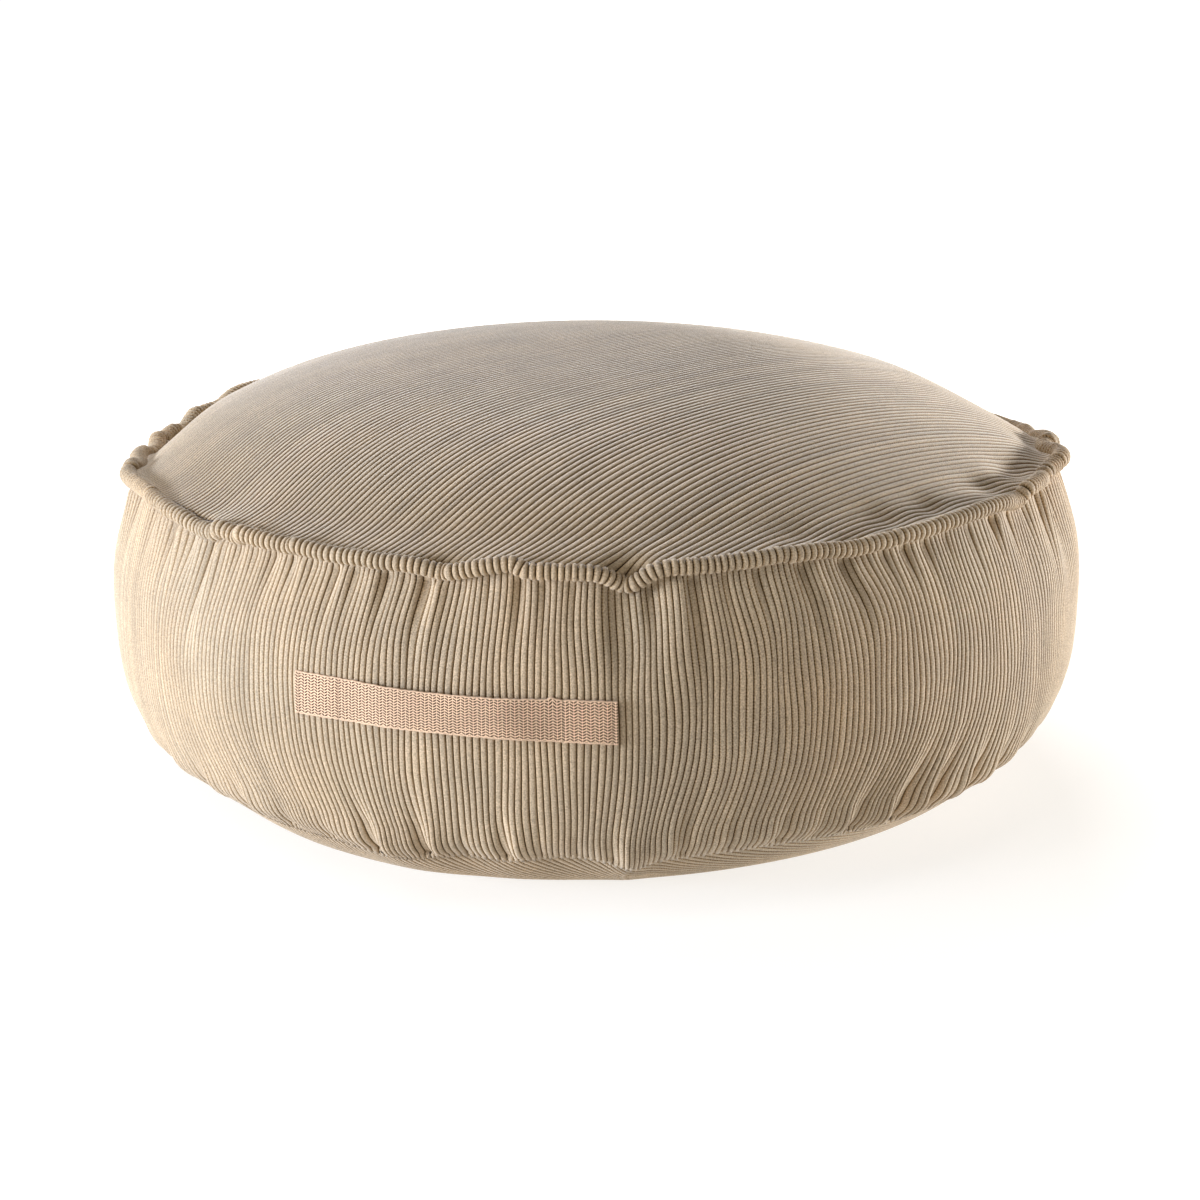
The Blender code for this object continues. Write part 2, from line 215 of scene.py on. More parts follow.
CROWN_TUCKS = (  # turn, spread, depth_mm: small dents where the stuffed crown meets the piping
    (-51.0, 4.0, 1.5),
    (24.0, 3.0, 1.5),
    (36.0, 2.6, 2.0),
    (43.5, 2.4, 2.5),
    (56.0, 3.0, 3.0),
    (66.0, 4.0, 4.0),
    (84.0, 4.0, 3.0),
)

PIPING_SWELLS = (  # turn, spread, share: where the cord's cover is slack and stands fuller
    (-100.0, 34.0, 0.22),
    (-44.0, 7.0, 0.10),
    (92.0, 26.0, 0.30),
    (180.0, 50.0, 0.15),
)

PIPING_STEPS = (  # turn, reach, rise_mm, out_mm: where the cord is twisted and steps across itself
    (-105.0, 3.0, 3.0, 2.0),
    (-92.0, 3.0, 2.2, 1.5),
    (-81.0, 3.0, 2.8, 1.5),
    (-72.0, 2.5, 2.0, 1.5),
    (-59.0, 2.5, -1.2, 1.0),
    (-46.8, 3.4, 5.6, 2.0),
    (-42.6, 2.2, 4.6, 3.0),
    (-34.6, 2.6, 2.8, 1.6),
    (-24.5, 2.0, -0.8, 0.6),
    (-15.8, 1.8, 0.8, 3.2),
    (-8.0, 2.2, -3.2, 1.8),
    (3.4, 1.5, 0.4, 3.6),
    (13.0, 2.0, 0.6, 0.4),
    (20.5, 2.0, -0.9, 0.8),
    (34.2, 2.2, 1.4, 1.0),
    (43.0, 2.0, -0.8, 0.6),
    (59.5, 3.0, 2.6, 1.0),
    (69.5, 2.8, 5.0, 3.0),
    (88.0, 3.0, -3.0, 2.0),
    (101.0, 3.0, -1.4, 1.0),
)

TOP_FOLDS = (  # turn, spread, depth_mm, length_mm, ridge_side: pleats that hang from the top seam
    (-84.0, 1.6, 2.4, 36.0, 0.0),
    (-77.0, 1.5, 3.0, 44.0, 1.0),
    (-70.5, 1.3, 2.6, 40.0, 0.0),
    (-63.0, 1.2, 2.4, 38.0, 1.0),
    (-57.0, 1.0, 3.0, 46.0, 1.0),
    (-52.5, 0.9, 2.2, 32.0, 1.0),
    (-48.3, 1.0, 4.0, 66.0, 1.0),
    (-43.0, 0.8, 1.4, 24.0, -1.0),
    (-40.2, 0.7, 1.2, 20.0, 0.0),
    (-37.5, 0.8, 2.8, 32.0, 0.0),
    (-34.6, 0.7, 2.2, 28.0, 1.0),
    (-31.6, 0.7, 1.5, 24.0, 0.0),
    (-28.8, 0.7, 2.4, 46.0, 1.0),
    (-26.3, 0.6, 2.0, 36.0, 0.0),
    (-22.6, 0.8, 3.2, 46.0, -1.0),
    (-20.4, 0.6, 1.6, 34.0, 0.0),
    (-18.2, 0.8, 4.0, 58.0, 1.0),
    (-14.0, 0.6, 1.2, 30.0, 0.0),
    (-11.2, 0.6, 1.3, 34.0, 0.0),
    (-7.9, 0.7, 3.0, 56.0, 0.0),
    (-5.4, 0.6, 1.6, 44.0, 0.0),
    (-2.4, 0.6, 1.2, 40.0, 0.0),
    (1.6, 0.7, 2.2, 48.0, 0.0),
    (5.8, 0.9, 3.2, 56.0, -1.0),
    (10.0, 0.8, 3.0, 66.0, -1.0),
    (13.6, 0.6, 1.2, 36.0, 0.0),
    (17.2, 0.7, 1.6, 42.0, 0.0),
    (22.2, 0.8, 2.6, 50.0, 1.0),
    (27.2, 0.8, 3.0, 34.0, 1.0),
    (32.4, 0.7, 1.6, 26.0, 0.0),
    (35.5, 0.7, 2.6, 30.0, 0.0),
    (38.5, 0.7, 2.2, 30.0, 0.0),
    (41.8, 0.6, 1.2, 24.0, 0.0),
    (45.8, 0.7, 1.6, 40.0, 0.0),
    (50.8, 0.8, 3.0, 26.0, 1.0),
    (55.2, 0.9, 3.2, 34.0, 0.0),
    (59.8, 0.9, 2.2, 32.0, 0.0),
    (64.5, 1.2, 4.4, 58.0, 1.0),
    (70.0, 1.2, 3.0, 38.0, 0.0),
    (77.0, 1.5, 3.0, 42.0, 0.0),
    (84.0, 1.6, 2.4, 36.0, 0.0),
)

BOTTOM_FOLDS = (  # turn, spread, depth_mm, length_mm, ridge_side: pleats that rise from the bottom seam
    (-80.0, 1.8, 1.8, 38.0, 1.0),
    (-70.0, 1.6, 2.2, 40.0, 1.0),
    (-61.0, 1.5, 2.6, 40.0, 1.0),
    (-52.0, 1.3, 3.0, 36.0, 1.0),
    (-44.0, 1.1, 2.8, 34.0, 1.0),
    (-37.2, 1.0, 3.2, 30.0, 0.0),
    (-31.5, 0.9, 2.0, 30.0, 0.0),
    (-25.4, 1.0, 4.8, 50.0, 1.0),
    (-19.4, 0.9, 4.6, 48.0, 1.0),
    (-14.6, 0.7, 1.6, 30.0, 0.0),
    (-10.2, 0.8, 3.2, 44.0, 1.0),
    (-6.4, 0.6, 1.4, 34.0, 0.0),
    (-2.6, 0.6, 1.4, 30.0, 0.0),
    (1.3, 0.8, 3.0, 30.0, 1.0),
    (8.8, 0.8, 2.6, 48.0, -1.0),
    (14.0, 0.7, 1.6, 42.0, 0.0),
    (19.8, 0.9, 2.8, 46.0, -1.0),
    (24.4, 0.7, 1.6, 34.0, 0.0),
    (28.8, 0.9, 3.8, 48.0, -1.0),
    (34.6, 1.1, 5.4, 58.0, -1.0),
    (39.8, 1.1, 5.4, 60.0, -1.0),
    (46.6, 1.1, 4.8, 52.0, -1.0),
    (52.6, 1.2, 4.4, 44.0, -1.0),
    (58.6, 1.3, 2.6, 40.0, -1.0),
    (65.5, 1.5, 1.8, 38.0, 0.0),
    (74.0, 1.8, 1.4, 38.0, 0.0),
    (83.0, 1.8, 2.8, 36.0, 0.0),
)

BOTTOM_SEAM_WAVES = (  # turn, spread, rise_mm
    (-50.0, 6.0, 1.5),
    (-24.0, 5.0, -4.0),
    (-15.0, 3.5, 3.0),
    (-4.0, 5.0, 4.6),
    (3.3, 2.2, -5.0),
    (18.0, 13.0, 3.4),
)

BASE_SPREAD = (  # turn, spread, out_mm: where the rolled edge of the base sits wider or narrower
    (-34.0, 24.0, 5.0),
    (58.0, 24.0, 2.5),
)

FOOT_INSETS = (  # turn, spread, in_mm: where the foot of the band and the bottom seam are drawn in
    (-66.0, 20.0, 4.5),
    (66.0, 18.0, 4.8),
)
FOOT_INSET_TOP = 0.092

WALE_DRIFTS = (  # turn, spread, height_mm, reach_mm, drift_deg: where the wales are pulled sideways
    (-47.0, 9.0, 212.0, 44.0, 2.0),
    (-30.0, 12.0, 212.0, 28.0, 1.5),
    (-14.0, 8.0, 212.0, 30.0, 0.7),
    (15.0, 8.0, 212.0, 28.0, -0.9),
    (30.0, 8.0, 212.0, 24.0, -2.1),
    (46.0, 9.0, 212.0, 32.0, -1.3),
    (-44.0, 13.0, 56.0, 34.0, 3.7),
    (-27.0, 5.5, 56.0, 24.0, 1.7),
    (12.0, 10.0, 52.0, 36.0, -2.2),
    (26.0, 8.0, 56.0, 28.0, -1.6),
    (39.0, 9.0, 54.0, 34.0, -4.4),
    (48.0, 5.0, 54.0, 30.0, -0.6),
)

DRIFT_FLOOR = 0.054  # height below which the wales run straight down
BACK_STRETCH = 1.15  # how much wider apart the front's folds lie where they are repeated round the back
BACK_STRENGTH = 0.9  # and how deep they are there, as a share

# Camera and lights
CAMERA_AIM = Vector((0.0, 0.0, 0.1056))
CAMERA_DISTANCE = 1.664
CAMERA_ELEVATION = 17.48
CAMERA_ROLL = -1.0
CAMERA_LENS_MM = 73.55
CAMERA_SENSOR_MM = 36.0
CAMERA_SHIFT = (0.0030, -0.0061)
LIGHTS = (  # name, turn, elevation, width, height, watts, colour
    ("left softbox", -70.0, 8.0, 1.2, 0.45, 102.0, (0.74, 0.83, 1.0)),
    ("right softbox", 101.0, -1.0, 1.1, 0.30, 150.0, (0.97, 0.98, 1.0)),
    ("overhead softbox", -38.0, 50.0, 1.1, 1.1, 17.5, (1.0, 0.985, 0.965)),
    ("back softbox", 180.0, 31.0, 1.2, 0.5, 65.0, (0.94, 0.96, 1.0)),
)
LIGHT_DISTANCE = 2.2
WORLD_STRENGTH = 0.045
WORLD_COLOUR = (1.0, 0.93, 0.82, 1.0)
FLOOR_GLOWS = (0.79, 1.07)  # near the object, far away: painted bounce light, lowered near the pouf as a painted contact shadow
FLOOR_GLOW_COLOUR = (1.0, 0.975, 0.935, 1.0)
FLOOR_GLOW_DISTANCES = (0.34, 0.85)
FLOOR_COLOUR = (0.3, 0.3, 0.3, 1.0)
FLOOR_RADIUS = 30.0
FLOOR_SIDES = 64

# Colours
# Valley colour: partly the darker ground weave between the wales, partly painted shade in their valleys and
# at the seams.
VALLEY_WEAVE_AND_SHADE_COLOUR = (0.048, 0.025, 0.008, 1.0)
# Side colour: painted shade on the wales' flanks, a darker copy of the pile.
SIDE_SHADE_COLOUR = (0.360, 0.228, 0.096, 1.0)
WARM_PILE = (0.455, 0.338, 0.215, 1.0)
COOL_PILE = (0.433, 0.340, 0.230, 1.0)
# The top panel's own copy of the pile, set darker than the band's as painted shade, since the lamps light
# the top more.
TOP_WARM_PILE = (0.432, 0.314, 0.184, 1.0)
TOP_COOL_PILE = (0.420, 0.317, 0.198, 1.0)
WEBBING_COLOUR = (0.82, 0.578, 0.385, 1.0)
# Gap colour: painted shade in the gaps between the webbing's yarns and along its edges, and the colour of
# its sewn lines.
WEBBING_GAP_SHADE_COLOUR = (0.07, 0.030, 0.012, 1.0)

# Materials; a range says where a change begins and ends, and tones are the darkest and the lightest
DIFFUSE_ROUGHNESS = 0.6
SPECULAR_LEVEL = 0.25
SHEEN_ROUGHNESS = 0.5
SHEEN_TINT = (1.0, 0.98, 0.96, 1.0)
NOISE_RANGE = (0.3, 0.7)
PILE_ROUGHNESS = 0.75
BAND_SHEEN = 0.12
TOP_SHEEN = 0.32
BASE_SHEEN = 0.1
SIDE_RANGE = (0.09, 0.70)  # heights on a wale where the painted shade of its valley turns into the painted shade of its side
CREST_RANGE = (0.45, 0.92)  # and where the painted shade of its side gives way to its crest
KNOT_PITCH_MM = 1.9  # of the ground weave's knots, along the valleys
KNOT_SHIFT_MM = 7.0  # how differently the knots start on each wale
KNOT_DARKNESS = 0.32  # how much lower than it is the cloth looks at a knot
KNOT_RANGE = (0.80, 1.0)  # heights on a wale where the knots fade
KNOT_ON_CREST = 0.25  # how much of them is left there
CLOUD_SCALE = 9.0
CLOUD_RANGE = (0.35, 0.65)
PATCH_SCALE = 26.0
PATCH_TONES = (0.92, 1.08)
TUFT_SCALE = 1200.0
TUFT_TONES = (0.64, 1.36)
TUFT_BUMP = (0.6, 0.0005)  # strength, distance
PILE_DETAIL = 3.0
WALE_TONE = 0.045
WEBBING_ROUGHNESS = 0.9
WEBBING_SHEEN = 0.1
WEBBING_DETAIL = 2.0
YARN_RANGE = (0.14, 0.30)  # in rows from the middle of a yarn: the painted shade between it and the next
ARM_RANGE = (0.03, 0.16)  # in arms from a corner of the zigzag, where the yarns cover the painted shade
SELVEDGE_RANGE_MM = (0.4, 1.0)
# Painted shade along the strap's edges: how dark, and how far in it reaches.
RIM_SHADE = 0.35
RIM_SHADE_MM = 0.8
STITCH_SHADE = 0.45
STITCH_RANGE_MM = (0.35, 0.75)  # from the middle of a sewn line
STITCH_HALF_PITCH_MM = 1.5
STITCH_GAP_RANGE_MM = (0.2, 0.6)  # from the place between two stitches
FIBRE_SCALE = 1400.0
FIBRE_TONES = (0.82, 1.18)
WEBBING_PATCH_SCALE = 40.0
WEBBING_PATCH_TONES = (0.94, 1.06)
WEBBING_BUMP = (0.5, 0.0003)  # strength, distance

rng = np.random.default_rng(SEED)


def bump(distance, spread):
    return np.exp(-((distance / spread) ** 2))


def turn_between(first, second):
    """Signed smallest angle from second to first, in degrees."""
    return (first - second + 180.0) % 360.0 - 180.0


def smooth_step(share):
    share = np.clip(share, 0.0, 1.0)
    return share * share * (3.0 - 2.0 * share)


def smooth_lookup(rows, value):
    """Cubic interpolation through rows of (place, result)."""
    places, results = np.array(rows, float).T
    slopes = np.gradient(results, places)
    index = np.clip(np.searchsorted(places, value) - 1, 0, len(places) - 2)
    span = places[index + 1] - places[index]
    share = (value - places[index]) / span
    rise = results[index + 1] - results[index]
    bend = share * (share - 1.0)
    return results[index] + rise * share + bend * (
        (share - 1.0) * (slopes[index] * span - rise) + share * (slopes[index + 1] * span - rise)
    )


def both_sides(rows):
    """The rows as they stand at the front, and again, stretched and weaker, round the back."""
    for turn, spread, depth, *rest in rows:
        yield (turn, spread, depth, *rest)
        yield (180.0 + turn * BACK_STRETCH, spread * BACK_STRETCH, depth * BACK_STRENGTH, *rest)


def top_seam_shift(turn):
    """Rise and inward pull of the top seam."""
    rise = inset = 0.0
    for wave_turn, spread, rise_mm, inset_mm in TOP_SEAM_WAVES:
        strength = bump(turn_between(turn, wave_turn), spread)
        rise = rise + rise_mm * MM * strength
        inset = inset + inset_mm * MM * strength
    return rise, inset


def bottom_seam_rise(turn):
    return sum(
        rise_mm * MM * bump(turn_between(turn, wave_turn), spread)
        for wave_turn, spread, rise_mm in both_sides(BOTTOM_SEAM_WAVES)
    )


def foot_inset(turn, height):
    """Inward pull of the band's foot, greatest at the bottom seam."""
    reach = smooth_step((FOOT_INSET_TOP - height) / (FOOT_INSET_TOP - BOTTOM_SEAM_HEIGHT))
    return reach * sum(
        in_mm * MM * bump(turn_between(turn, inset_turn), spread)
        for inset_turn, spread, in_mm in both_sides(FOOT_INSETS)
    )


def fold_shape(distance, spread, side):
    """A pleat's cross-section: a valley, with a ridge of slack cloth on one side of it."""
    slack = bump(distance - side * FOLD_RIDGE_DISTANCE * spread, spread)
    return bump(distance, spread) - FOLD_RIDGE_SHARE * abs(side) * slack


def fold_depth(wale_turn, height):
    """How far the pleats, which run along the wales, draw the band's face in at one place."""
    depth = 0.0
    below_top = TOP_SEAM_HEIGHT - PIPING_RADIUS - height
    above_bottom = height - BOTTOM_SEAM_HEIGHT
    for folds, from_seam, seam_height in (
        (TOP_FOLDS, below_top, BAND_TOP),
        (BOTTOM_FOLDS, above_bottom, BOTTOM_SEAM_HEIGHT),
    ):
        seam_turn = wale_turn + wale_drift(wale_turn, seam_height)
        for fold_turn, spread, depth_mm, length_mm, side in both_sides(folds):
            reach = smooth_step(from_seam / FOLD_START) * bump(from_seam, length_mm * MM * GATHER_FALL)
            distance = turn_between(seam_turn, fold_turn)
            depth = depth + depth_mm * MM * reach * fold_shape(distance, spread, side)
    return depth * FOLD_STRENGTH


def wale_drift(turn, height):
    """Degrees by which the wales are pulled sideways at one place."""
    height = np.maximum(height, DRIFT_FLOOR)
    return sum(
        drift * bump(turn_between(turn, drift_turn), spread) * bump(height - height_mm * MM, reach_mm * MM)
        for drift_turn, spread, height_mm, reach_mm, drift in WALE_DRIFTS
    )


def wander(turn, height):
    """Degrees by which the wales stray on their own, in slow waves."""
    stray = 0.0
    for _ in range(WANDER_WAVES):
        turns_round = rng.integers(*WANDER_TURNS)
        climb = math.tau / rng.uniform(*WANDER_LENGTHS) * rng.choice((-1.0, 1.0))
        stray = stray + np.sin(np.radians(turn) * turns_round + climb * height + rng.uniform(0.0, math.tau))
    return WANDER_DEGREES * stray


def bunched(turns, height):
    """Turns at which the wales lie when the cloth's length round the band is shared evenly among them."""
    fine = np.linspace(-180.0, 180.0, FINE_STEPS, endpoint=False)
    points = band_point(fine, height)
    steps = np.linalg.norm(np.roll(points, -1, axis=0) - points, axis=1)
    excess = np.cumsum(steps / steps.mean() - 1.0) * (fine[1] - fine[0])
    waves = np.fft.rfft(excess)
    wavelengths = 360.0 / np.maximum(np.arange(len(waves)), 1)
    waves = waves * np.exp(-((wavelengths / FOLD_BUNCHING_REACH) ** 2))
    excess = np.fft.irfft(waves, len(fine)) * FOLD_BUNCHING
    return np.interp(turns, fine + excess, fine)


def at(turn, radius, height):
    """The point, or points, at a turn, a radius and a height."""
    angle = np.radians(turn)
    return np.stack(np.broadcast_arrays(radius * np.sin(angle), -radius * np.cos(angle), height), axis=-1)


def band_point(wale_turn, height, tuck=0.0):
    """Crest surface of the gathered side band, where a wale passes a height."""
    turn = wale_turn + wale_drift(wale_turn, height)
    share = (height - BOTTOM_SEAM_HEIGHT) / (TOP_SEAM_HEIGHT - PIPING_RADIUS - BOTTOM_SEAM_HEIGHT)
    top_share = smooth_step(1.0 - (1.0 - share) / TOP_SEAM_SHARE)
    bottom_share = smooth_step(1.0 - share / BOTTOM_SEAM_SHARE)
    rise, inset = top_seam_shift(turn)
    radius = smooth_lookup(BAND_PROFILE_MM, height / MM) * MM - tuck
    radius = radius - inset * top_share - foot_inset(turn, height) - fold_depth(wale_turn, height)
    return at(turn, radius, height + rise * top_share + bottom_seam_rise(turn) * bottom_share)


def crown_swell(radius):
    """Height of the plain crown above the floor."""
    share = np.clip(radius / CROWN_RIM_RADIUS, 0.0, 1.0)
    swell = (1.0 - share**CROWN_FULLNESS) ** CROWN_SOFTNESS
    return TOP_SEAM_HEIGHT + (CROWN_HEIGHT - TOP_SEAM_HEIGHT) * swell


def crown_point(turn, radius):
    """Crest surface of the stuffed top panel."""
    height = crown_swell(radius)
    rise, inset = top_seam_shift(turn)
    follow = (radius / CROWN_RIM_RADIUS) ** CROWN_FOLLOW_POWER
    from_rim = CROWN_RIM_RADIUS - radius
    tuck = sum(
        depth_mm * MM * bump(turn_between(turn, tuck_turn), spread)
        for tuck_turn, spread, depth_mm in CROWN_TUCKS
    )
    tuck = tuck * smooth_step(from_rim / CROWN_TUCK_REACH)
    tuck = tuck * bump(from_rim - CROWN_TUCK_DISTANCE, CROWN_TUCK_REACH)
    lift = 0.0
    for lift_turn, spread, rise_mm, reach_mm in CROWN_RIM_LIFTS:
        strength = bump(turn_between(turn, lift_turn), spread)
        strength = strength * (1.0 - smooth_step(from_rim / MM / reach_mm))
        if rise_mm < 0.0:
            strength = strength * smooth_step(from_rim / CROWN_EDGE_RETURN)
        lift = lift + rise_mm * MM * strength
    lean = smooth_step((height - TOP_SEAM_HEIGHT) / (CROWN_HEIGHT - TOP_SEAM_HEIGHT))
    point = at(turn, radius - inset * follow, height + rise * follow + lift - tuck)
    point[..., 0] += CROWN_LEAN[0] * lean
    point[..., 1] += CROWN_LEAN[1] * lean
    return point


def base_height(radius):
    return smooth_lookup(BASE_PROFILE_MM, np.maximum(radius / MM, BASE_PROFILE_MM[0][0])) * MM


def base_point(turn, radius):
    """Crest surface of the bottom panel, seen from below."""
    height = base_height(radius)
    share = smooth_step(height / BOTTOM_SEAM_HEIGHT)
    off_flat = smooth_step(radius / (BASE_PROFILE_MM[0][0] * MM))
    spread_out = sum(
        out_mm * MM * bump(turn_between(turn, spread_turn), spread)
        for spread_turn, spread, out_mm in BASE_SPREAD
    )
    spread_out = spread_out * (1.0 - share) * off_flat - foot_inset(turn, BOTTOM_SEAM_HEIGHT) * share
    return at(turn, radius + spread_out, height + bottom_seam_rise(turn) * share)


def uneven_ridges(count, length, jitter, phases):
    """Where points lie along a row of unevenly wide ridges, and each point's ridge number and phase."""
    widths = 1.0 + jitter * rng.uniform(-1.0, 1.0, count)
    edges = np.concatenate([[0.0], np.cumsum(widths)]) * length / widths.sum()
    numbers = np.repeat(np.arange(count), len(phases))
    phases = np.tile(phases, count)
    return edges[numbers] + phases * np.diff(edges)[numbers], numbers, phases


def ridge(phase, powers):
    """Height of a wale's or rib's rounded cross-section, from 0 at its feet to 1 on its crest."""
    flatness, steepness = powers
    return (1.0 - np.abs(2.0 * phase - 1.0) ** flatness) ** steepness


def grid_normals(points, wrap):
    """Unit normals of a (rows, columns) grid of points, from its rows and columns."""
    if wrap:
        across = np.roll(points, -1, axis=1) - np.roll(points, 1, axis=1)
    else:
        across = np.gradient(points, axis=1)
    along = np.gradient(points, axis=0)
    normals = np.cross(along, across)
    return normals / np.maximum(np.linalg.norm(normals, axis=-1, keepdims=True), TINY)


def grid_mesh(name, points, wrap, loop=False):
    """Quads over a (rows, columns) grid: wrap closes each row, and loop joins the last row to the first."""
    rows, columns = points.shape[:2]
    index = np.arange(rows * columns).reshape(rows, columns)
    if wrap:
        index = np.concatenate([index, index[:, :1]], axis=1)
    if loop:
        index = np.concatenate([index, index[:1]])
    corners = (index[:-1, :-1], index[1:, :-1], index[1:, 1:], index[:-1, 1:])
    faces = np.stack(corners, axis=-1).reshape(-1, 4)
    mesh = bpy.data.meshes.new(name)
    mesh.from_pydata(points.reshape(-1, 3), [], faces)
    mesh.shade_smooth()
    return mesh


def set_values(mesh, name, values):
    layer = mesh.attributes.new(name, "FLOAT", "POINT")
    layer.data.foreach_set("value", np.ascontiguousarray(values, dtype=np.float32).ravel())


def add_piece(name, mesh, material, node):
    """Put a mesh in the scene in place of a CAD node."""
    piece = bpy.data.objects.new(name, mesh)
    mesh.materials.append(material)
    bpy.context.scene.collection.objects.link(piece)
    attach(piece, "root")
    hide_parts(node)
    return piece


def add_corduroy(name, surface, numbers, phases, wrap, material, node, depth, pile_changes=()):
    """Cut the wales' valleys into a grid whose columns follow them, and make it a piece."""
    count = int(numbers.max()) + 1
    depths = 1.0 + WALE_DEPTH_JITTER * rng.uniform(-1.0, 1.0, count)
    crest = ridge(phases, WALE_POWERS)
    turn = np.degrees(np.arctan2(surface[..., 0], -surface[..., 1]))
    from_middle = np.hypot(surface[..., 0], surface[..., 1]) / PIPING_RING_RADIUS
    upright = 1.0 + from_middle * sum(
        gain * bump(turn_between(turn, change_turn), spread) for change_turn, spread, gain in pile_changes
    )
    valley = upright * depth * depths[numbers] * (1.0 - crest)
    points = surface - grid_normals(surface, wrap) * valley[..., None]
    mesh = grid_mesh(name, points, wrap)
    rows = surface.shape[0]
    # The first and last rows, where the cloth turns into its seams, get a crest of 0, so the material
    # paints them with the valley colour as painted seam shade.
    rows_without_seam_shade = np.ones((rows, 1))
    rows_without_seam_shade[[0, -1]] = 0.0
    steps = np.linalg.norm(np.diff(surface, axis=0), axis=2)
    along = np.concatenate([np.zeros((1, surface.shape[1])), np.cumsum(steps, axis=0)])
    set_values(mesh, "crest", (1.0 - upright * (1.0 - crest)) * rows_without_seam_shade)
    set_values(mesh, "nap", np.tile(rng.normal(0.0, 1.0, count)[numbers], (rows, 1)))
    set_values(mesh, "along_mm", along / MM)
    return add_piece(name, mesh, material, node)


def add_side_band(material):
    """The gathered band, from the cloth turned in behind the piping to that turned into the bottom seam."""
    places, numbers, phases = uneven_ridges(WALES_ROUND, WALES_ROUND, WALE_WIDTH_JITTER, WALE_PHASES)
    turns = places * 360.0 / WALES_ROUND - 180.0
    share = np.linspace(0.0, 1.0, BAND_ROWS)
    share = share - ROW_CROWDING * np.sin(math.tau * share)
    heights = BAND_TOP + (BOTTOM_SEAM_HEIGHT - BAND_TOP) * share
    turn_grid = np.stack([bunched(turns, height) for height in heights])
    turn_grid = turn_grid + wander(turn_grid, heights[:, None])
    tips = rng.uniform(-1.0, 1.0, WALES_ROUND)[numbers] * TIP_UNEVENNESS
    tips = (tips - TIP_SCALLOP * ridge(phases, WALE_POWERS)) * (share[:, None] == 1.0)
    height_grid = heights[:, None] + tips
    head_height, head_inward = BAND_HEAD_TUCK_MM
    rows = [band_point(turn_grid[:1], head_height * MM, head_inward * MM)]
    rows.append(band_point(turn_grid, height_grid))
    for height_mm, inward_mm in BAND_FOOT_TUCKS_MM:
        rows.append(band_point(turn_grid[-1:], height_mm * MM, inward_mm * MM))
    surface = np.concatenate(rows)
    parting, parting_reach = TIP_PARTING
    tip_row = -1 - len(BAND_FOOT_TUCKS_MM)
    from_seam = surface[..., 2] - surface[tip_row, :, 2]
    depth = WALE_DEPTH * (1.0 + parting * bump(from_seam, parting_reach))
    piece = add_corduroy(
        "side_band_cloth", surface, numbers, phases, True, material, "side_band",
        depth, BAND_PILE_CHANGES,
    )


def disc_cloth(surface_point, profile_height, rim, rows):
    """A grid over a round panel whose columns run along the wales of its cloth."""
    radii = np.linspace(0.0, rim, DISC_STEPS)
    steps = np.hypot(np.diff(radii), np.diff(profile_height(radii)))
    reaches = np.concatenate([[0.0], np.cumsum(steps)])
    cloth_radius = reaches[-1]
    count = int(2.0 * cloth_radius / WALE_PITCH)
    places, numbers, phases = uneven_ridges(count, count, WALE_WIDTH_JITTER, WALE_PHASES)
    across = (places / count * 2.0 - 1.0) * cloth_radius
    half_chord = np.sqrt(np.maximum(cloth_radius**2 - across**2, 0.0))
    share = np.linspace(-1.0, 1.0, rows)
    crowded = np.sin(share * math.pi / 2.0)
    share = DISC_ROW_EVENNESS * share + (1.0 - DISC_ROW_EVENNESS) * crowded
    along = share[:, None] * half_chord[None, :]
    across = np.broadcast_to(across, along.shape)
    direction = math.radians(TOP_WALE_DIRECTION)
    x = along * math.cos(direction) - across * math.sin(direction)
    y = along * math.sin(direction) + across * math.cos(direction)
    radius = np.interp(np.hypot(x, y), reaches, radii)
    turn = np.degrees(np.arctan2(x, -y))
    return surface_point(turn, radius), numbers, phases


def add_top_panel(material):
    surface, numbers, phases = disc_cloth(crown_point, crown_swell, CROWN_RIM_RADIUS, CROWN_ROWS)
    piece = add_corduroy(
        "top_panel_cloth", surface, numbers, phases, False, material, "top_panel",
        TOP_WALE_DEPTH, TOP_PILE_CHANGES,
    )


def add_bottom_panel(material):
    surface, numbers, phases = disc_cloth(base_point, base_height, BOTTOM_SEAM_RADIUS, BASE_ROWS)
    piece = add_corduroy(
        "bottom_panel_cloth", surface[::-1], numbers, phases, False, material, "bottom_panel",
        WALE_DEPTH,
    )


def piping_path(turn):
    """Centre of the piping: the top seam, and the steps where the cord is twisted."""
    rise, inset = top_seam_shift(turn)
    for step_turn, reach, rise_mm, out_mm in both_sides(PIPING_STEPS):
        distance = turn_between(turn, step_turn)
        step = 0.5 * np.tanh(distance / PIPING_STEP_TURN) * np.exp(-np.abs(distance) / reach)
        rise = rise + rise_mm * MM * step
        inset = inset - out_mm * MM * step
    return at(turn, PIPING_RING_RADIUS - inset, TOP_SEAM_HEIGHT + rise)


def square_frames(centre):
    """Directions out of the pouf and up from it, square to a closed path at each of its points."""
    reach = PIPING_FRAME_REACH
    ahead = np.roll(centre, -reach, axis=0) - np.roll(centre, reach, axis=0)
    ahead /= np.linalg.norm(ahead, axis=1, keepdims=True)
    out = centre * (1.0, 1.0, 0.0)
    out -= ahead * (out * ahead).sum(axis=1, keepdims=True)
    out /= np.linalg.norm(out, axis=1, keepdims=True)
    return out, np.cross(ahead, -out)


